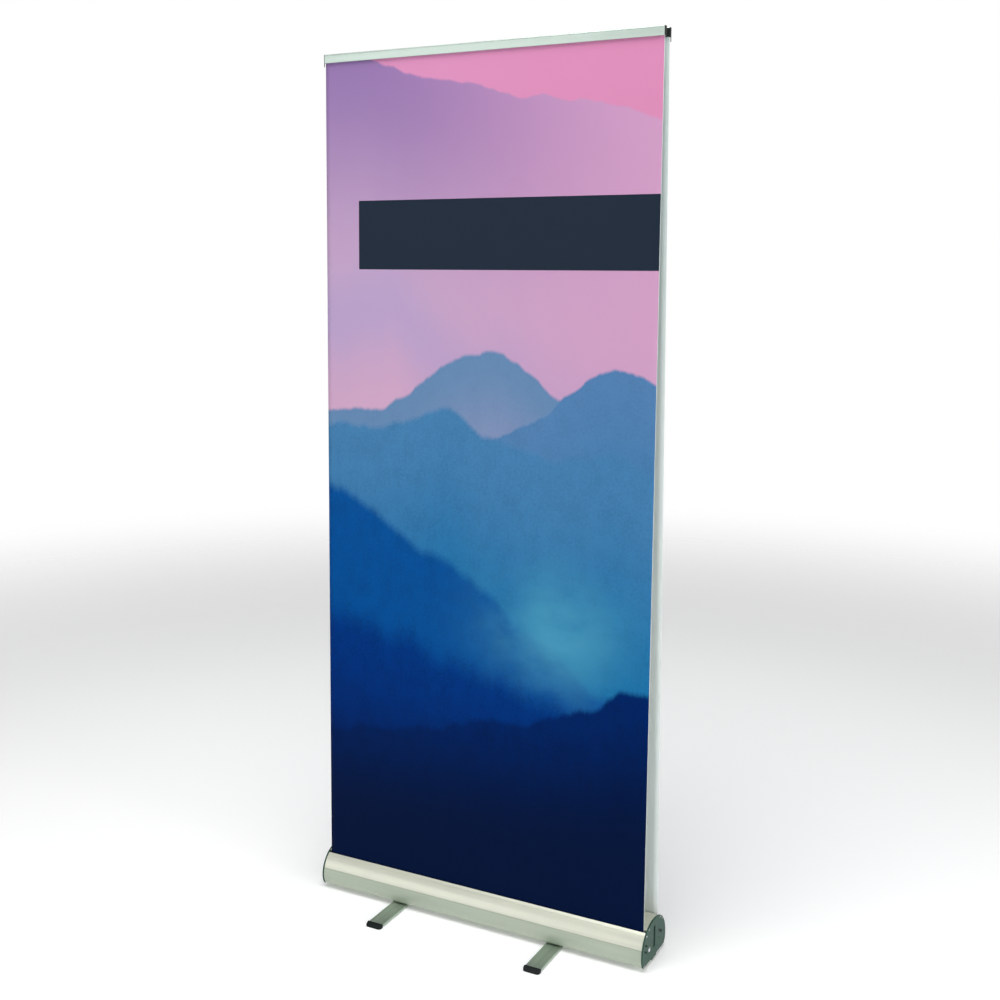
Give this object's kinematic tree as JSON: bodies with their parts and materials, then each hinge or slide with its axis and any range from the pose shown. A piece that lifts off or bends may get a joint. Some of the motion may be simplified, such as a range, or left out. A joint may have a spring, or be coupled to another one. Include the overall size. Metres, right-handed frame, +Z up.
{
  "type": "roll-up banner stand",
  "caption": "Double-sided roll-up banner stand: domed floor base with spring rollers, sectional pole, clip-on top rails and two flat feet that swivel.",
  "frame": {"origin": "on the floor, under the middle of the base", "axes": "+X along the base, +Y from the front banner to the rear banner, +Z up"},
  "size_m": [0.8716, 0.372, 2.067],
  "materials": {
    "housing": "satin anodised",
    "cap_plastic": "fine moulded texture",
    "black_plastic": "moulded",
    "steel": "zinc plated",
    "chrome_steel": "polished",
    "spring_steel": "oiled",
    "front_film": "printed film, hills in blue and pink",
    "rear_film": "printed film, pale back",
    "bare_aluminium": "drawn",
    "rail": "satin anodised",
    "elastic_cord": "braided",
    "foot_metal": "satin anodised",
    "foot_rubber": "moulded"
  },
  "bodies": {
    "base": {"base_housing": "housing", "left_end_cap": "cap_plastic", "right_end_cap": "cap_plastic", "end_cap_screws": "steel", "pole_socket": "black_plastic", "front_spring_shaft": "steel", "rear_spring_shaft": "steel", "front_spring_anchor": "black_plastic", "rear_spring_anchor": "black_plastic", "front_torsion_spring": "spring_steel", "rear_torsion_spring": "spring_steel", "front_idler_pin": "chrome_steel", "rear_idler_pin": "chrome_steel", "left_foot_pivot_bolt": "steel", "right_foot_pivot_bolt": "steel", "left_foot_washer": "black_plastic", "right_foot_washer": "black_plastic", "left_foot_nut": "steel", "right_foot_nut": "steel"},
    "front_roller": {"front_roller_tube": "bare_aluminium", "front_roller_wrap": "rear_film", "front_drive_plug": "black_plastic", "front_idler_plug": "black_plastic"},
    "rear_roller": {"rear_roller_tube": "bare_aluminium", "rear_roller_wrap": "rear_film", "rear_drive_plug": "black_plastic", "rear_idler_plug": "black_plastic"},
    "pole": {"pole_lower": "bare_aluminium", "pole_middle": "bare_aluminium", "pole_upper": "bare_aluminium", "lower_ferrule": "steel", "upper_ferrule": "steel", "pole_head": "black_plastic", "pole_foot_plug": "black_plastic", "bungee_cord": "elastic_cord", "bungee_anchors": "steel"},
    "front_rail": {"front_top_rail": "rail", "front_clamp_bar": "steel", "front_rail_left_cap": "black_plastic", "front_rail_right_cap": "black_plastic", "front_rail_clip": "black_plastic", "front_banner": "front_film"},
    "rear_rail": {"rear_top_rail": "rail", "rear_clamp_bar": "steel", "rear_rail_left_cap": "black_plastic", "rear_rail_right_cap": "black_plastic", "rear_rail_clip": "black_plastic", "rear_banner": "rear_film"},
    "left_foot": {"left_foot_bar": "foot_metal", "left_foot_front_cap": "foot_rubber", "left_foot_rear_cap": "foot_rubber"},
    "right_foot": {"right_foot_bar": "foot_metal", "right_foot_front_cap": "foot_rubber", "right_foot_rear_cap": "foot_rubber"}
  },
  "joints": [
    {"name": "pole_lift", "type": "slide", "parent": "base", "child": "pole", "axis": [0, 0, 1], "range_m": [0, 0.05]},
    {"name": "front_rail_travel", "type": "slide", "parent": "pole", "child": "front_rail", "axis": [0, 0.0149, 0.9999], "range_m": [-1.9492, 0], "deforming": ["front_banner"]},
    {"name": "rear_rail_travel", "type": "slide", "parent": "pole", "child": "rear_rail", "axis": [0, -0.0149, 0.9999], "range_m": [-1.9492, 0], "deforming": ["rear_banner"]},
    {"name": "front_roller_spin", "type": "hinge", "parent": "base", "child": "front_roller", "pos_m": [0, -0.03037, 0.039], "axis": [1, 0, 0], "range_deg": [0, 7092]},
    {"name": "rear_roller_spin", "type": "hinge", "parent": "base", "child": "rear_roller", "pos_m": [0, 0.03037, 0.039], "axis": [1, 0, 0], "range_deg": [-7092, 0]},
    {"name": "left_foot_swivel", "type": "hinge", "parent": "base", "child": "left_foot", "pos_m": [-0.21, 0, 0.005], "axis": [0, 0, 1], "range_deg": [-90, 90]},
    {"name": "right_foot_swivel", "type": "hinge", "parent": "base", "child": "right_foot", "pos_m": [0.21, 0, 0.005], "axis": [0, 0, 1], "range_deg": [-90, 90]}
  ],
  "couplings": [
    {"joint": "front_roller_spin", "follows": "front_rail_travel", "rad_per_m": -63.5},
    {"joint": "rear_roller_spin", "follows": "rear_rail_travel", "rad_per_m": 63.5}
  ]
}
